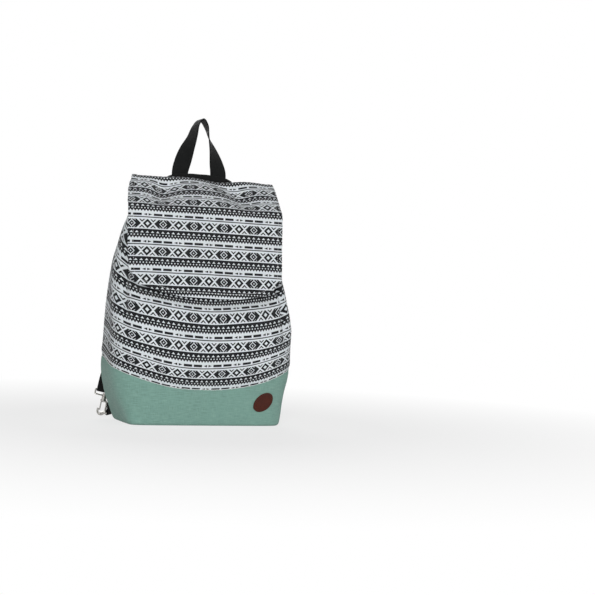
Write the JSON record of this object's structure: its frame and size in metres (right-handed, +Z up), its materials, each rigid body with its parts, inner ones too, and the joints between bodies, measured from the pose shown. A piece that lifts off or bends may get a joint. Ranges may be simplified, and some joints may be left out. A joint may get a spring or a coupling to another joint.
{
  "type": "backpack",
  "caption": "Flap backpack with a printed cloth body on a plain canvas boot, a webbing handle, and a long strap clipped to rings at its lower back corners.",
  "frame": {"origin": "middle of the flat base, on the surface that the bag stands on", "axes": "+Z up, -Y towards the front with the flap, +X to the right of a person who looks at the front"},
  "size_m": [0.3114, 0.1893, 0.5023],
  "materials": {
    "printed_canvas": "cotton canvas printed in black on white",
    "plain_canvas": "heavy slubbed canvas in mottled sage green",
    "webbing": "black ribbed webbing",
    "leather": "dark red-brown, matt",
    "metal": "nickel plate, polished"
  },
  "bodies": {
    "bag": {"body": "printed_canvas", "boot": "plain_canvas", "flap": "printed_canvas", "leather_disc": "leather", "handle": "webbing", "strap": "webbing", "slider": "metal", "snap_body_half": "metal", "snap_flap_half": "metal", "tab_lower_left": "webbing", "tab_lower_right": "webbing", "tab_upper_left": "webbing", "tab_upper_right": "webbing", "hook_eye_left": "metal", "hook_eye_right": "metal"},
    "ring_lower_left": {"ring_lower_left": "metal"},
    "ring_lower_right": {"ring_lower_right": "metal"},
    "ring_upper_left": {"ring_upper_left": "metal"},
    "ring_upper_right": {"ring_upper_right": "metal"},
    "hook_left": {"hook_left": "metal", "gate_pin_left": "metal"},
    "hook_right": {"hook_right": "metal", "gate_pin_right": "metal"},
    "gate_left": {"gate_left": "metal"},
    "gate_right": {"gate_right": "metal"}
  },
  "joints": [
    {"name": "ring_lower_left_pivot", "type": "hinge", "parent": "bag", "child": "ring_lower_left", "pos_m": [-0.13392, 0.04902, 0.0095], "axis": [0.5355, 0.8445, 0], "range_deg": [0, 10]},
    {"name": "ring_lower_right_pivot", "type": "hinge", "parent": "bag", "child": "ring_lower_right", "pos_m": [0.13392, 0.04902, 0.0095], "axis": [0.5355, -0.8445, 0], "range_deg": [0, 10]},
    {"name": "ring_upper_left_pivot", "type": "hinge", "parent": "bag", "child": "ring_upper_left", "pos_m": [-0.09794, 0.04261, 0.347], "axis": [0.9911, 0.1334, 0], "range_deg": [0, 140]},
    {"name": "ring_upper_right_pivot", "type": "hinge", "parent": "bag", "child": "ring_upper_right", "pos_m": [0.09794, 0.04261, 0.347], "axis": [0.9911, -0.1334, 0], "range_deg": [0, 140]},
    {"name": "hook_left_swivel", "type": "hinge", "parent": "bag", "child": "hook_left", "pos_m": [-0.13627, 0.06496, 0.04402], "axis": [-0.2352, -0.2446, -0.9407], "range_deg": [-20, 20]},
    {"name": "hook_right_swivel", "type": "hinge", "parent": "bag", "child": "hook_right", "pos_m": [0.13627, 0.06496, 0.04402], "axis": [0.2352, -0.2446, -0.9407], "range_deg": [-20, 20]},
    {"name": "gate_left_hinge", "type": "hinge", "parent": "hook_left", "child": "gate_left", "pos_m": [-0.14293, 0.06285, 0.02891], "axis": [-0.5049, -0.7962, 0.3333], "range_deg": [0, 20], "stiffness_Nm_per_rad": 0.02, "springref_deg": -17.19},
    {"name": "gate_right_hinge", "type": "hinge", "parent": "hook_right", "child": "gate_right", "pos_m": [0.14293, 0.06285, 0.02891], "axis": [-0.5049, 0.7962, -0.3332], "range_deg": [0, 20], "stiffness_Nm_per_rad": 0.02, "springref_deg": -17.19}
  ]
}
